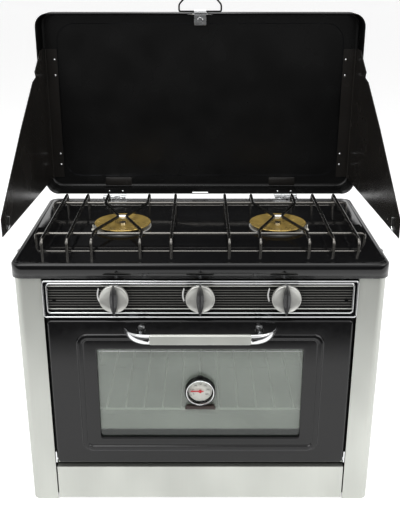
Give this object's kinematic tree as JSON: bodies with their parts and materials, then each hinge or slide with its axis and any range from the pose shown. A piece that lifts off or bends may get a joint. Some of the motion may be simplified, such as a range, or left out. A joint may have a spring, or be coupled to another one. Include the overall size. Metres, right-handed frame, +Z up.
{
  "type": "folding camp oven",
  "caption": "Portable gas cooker: burners under a wire grate on an enamel pan, a small oven with drop-down glass door below, folding lid with side windshields.",
  "frame": {"origin": "centre of the flat underside of the body's footprint on the ground", "axes": "+Z up, +X to the right when facing the door, +Y from the door to the rear"},
  "size_m": [0.5672, 0.433, 0.7351],
  "materials": {
    "stainless": "brushed",
    "enamel": "gloss enamel",
    "satin_black": "satin paint",
    "chrome": "polished",
    "nickel": "plated wire",
    "brass": "satin",
    "aluminium": "cast",
    "liner": "aluminised",
    "knob": "satin",
    "ceramic": "glazed",
    "glass": "clear",
    "gasket": "matte",
    "dial": "printed",
    "needle": "red paint",
    "foot": "moulded"
  },
  "bodies": {
    "root": {"left_side_panel": "stainless", "right_side_panel": "stainless", "kick_panel": "stainless", "base_tray": "stainless", "rear_panel": "stainless", "door_surround": "satin_black", "control_panel": "satin_black", "door_gasket": "gasket", "oven_liner": "liner", "rack_guides": "liner", "oven_burner": "liner", "flame_deflector": "liner", "burner_tubes": "liner", "cooktop_pan": "enamel", "burner_bodies": "aluminium", "burner_caps": "brass", "gas_manifold": "brass", "gas_inlet": "brass", "valve_left": "brass", "valve_centre": "brass", "valve_right": "brass", "burner_screws": "chrome", "panel_bezel": "chrome", "panel_screws": "chrome", "clip_anchors": "chrome", "lid_hinge_bases": "chrome", "door_hinge_pins": "chrome", "igniter_electrodes": "ceramic"},
    "lid": {"lid_shell": "satin_black", "lid_hinge_leaves": "chrome", "lid_rivets": "chrome", "latch_strap": "chrome", "left_wing_hinge": "satin_black", "right_wing_hinge": "satin_black"},
    "bail": {"latch_bail": "nickel"},
    "left_wing": {"left_windshield": "satin_black"},
    "right_wing": {"right_windshield": "satin_black"},
    "left_wing_clip": {"left_clip": "chrome"},
    "right_wing_clip": {"right_clip": "chrome"},
    "door": {"door_outer_panel": "enamel", "door_inner_panel": "liner", "door_glass": "glass", "door_hinge_blocks": "liner", "handle_bar": "chrome", "handle_brackets": "chrome", "handle_screws": "chrome", "thermometer_case": "chrome", "thermometer_dial": "dial", "thermometer_lens": "glass", "thermometer_foot": "foot"},
    "needle": {"thermometer_needle": "needle"},
    "grate": {"pan_grate": "nickel"},
    "rack": {"oven_rack": "nickel"},
    "stem_left": {"stem_left": "chrome"},
    "knob_left": {"knob_left": "knob"},
    "stem_centre": {"stem_centre": "chrome"},
    "knob_centre": {"knob_centre": "knob"},
    "stem_right": {"stem_right": "chrome"},
    "knob_right": {"knob_right": "knob"}
  },
  "joints": [
    {"name": "lid_hinge", "type": "hinge", "parent": "root", "child": "lid", "pos_m": [0, 0.17, 0.401], "axis": [-1, 0, 0], "range_deg": [-90, 0]},
    {"name": "bail_swing", "type": "hinge", "parent": "lid", "child": "bail", "pos_m": [0, 0.18, 0.7135], "axis": [1, 0, 0], "range_deg": [-80, 60]},
    {"name": "left_wing_fold", "type": "hinge", "parent": "lid", "child": "left_wing", "pos_m": [-0.2684, 0.216, 0.5], "axis": [0, 0, -1], "range_deg": [-92.56, 0]},
    {"name": "right_wing_fold", "type": "hinge", "parent": "lid", "child": "right_wing", "pos_m": [0.2684, 0.2105, 0.5], "axis": [0, 0, 1], "range_deg": [-92.56, 0]},
    {"name": "left_clip_swing", "type": "hinge", "parent": "left_wing", "child": "left_wing_clip", "pos_m": [-0.28153, -0.07771, 0.441], "axis": [0.999, -0.0447, 0], "range_deg": [-10, 95]},
    {"name": "right_clip_swing", "type": "hinge", "parent": "right_wing", "child": "right_wing_clip", "pos_m": [0.28153, -0.08321, 0.441], "axis": [0.999, 0.0447, 0], "range_deg": [-10, 95]},
    {"name": "door_hinge", "type": "hinge", "parent": "root", "child": "door", "pos_m": [0, -0.156, 0.077], "axis": [1, 0, 0], "range_deg": [0, 90]},
    {"name": "needle_turn", "type": "hinge", "parent": "door", "child": "needle", "pos_m": [0, -0.16, 0.198], "axis": [0, 1, 0], "range_deg": [-30, 200]},
    {"name": "grate_lift", "type": "slide", "parent": "root", "child": "grate", "axis": [0, 0, 1], "range_m": [0, 0.04]},
    {"name": "rack_slide", "type": "slide", "parent": "root", "child": "rack", "axis": [0, -1, 0], "range_m": [-0.006, 0.01]},
    {"name": "stem_push_left", "type": "slide", "parent": "root", "child": "stem_left", "axis": [0, 1, 0], "range_m": [0, 0.003], "stiffness_N_per_m": 400},
    {"name": "knob_turn_left", "type": "hinge", "parent": "stem_left", "child": "knob_left", "pos_m": [-0.1205, -0.17, 0.35], "axis": [0, -1, 0], "range_deg": [0, 180]},
    {"name": "stem_push_centre", "type": "slide", "parent": "root", "child": "stem_centre", "axis": [0, 1, 0], "range_m": [0, 0.003], "stiffness_N_per_m": 400},
    {"name": "knob_turn_centre", "type": "hinge", "parent": "stem_centre", "child": "knob_centre", "pos_m": [0, -0.17, 0.35], "axis": [0, -1, 0], "range_deg": [0, 180]},
    {"name": "stem_push_right", "type": "slide", "parent": "root", "child": "stem_right", "axis": [0, 1, 0], "range_m": [0, 0.003], "stiffness_N_per_m": 400},
    {"name": "knob_turn_right", "type": "hinge", "parent": "stem_right", "child": "knob_right", "pos_m": [0.1205, -0.17, 0.35], "axis": [0, -1, 0], "range_deg": [0, 180]}
  ]
}
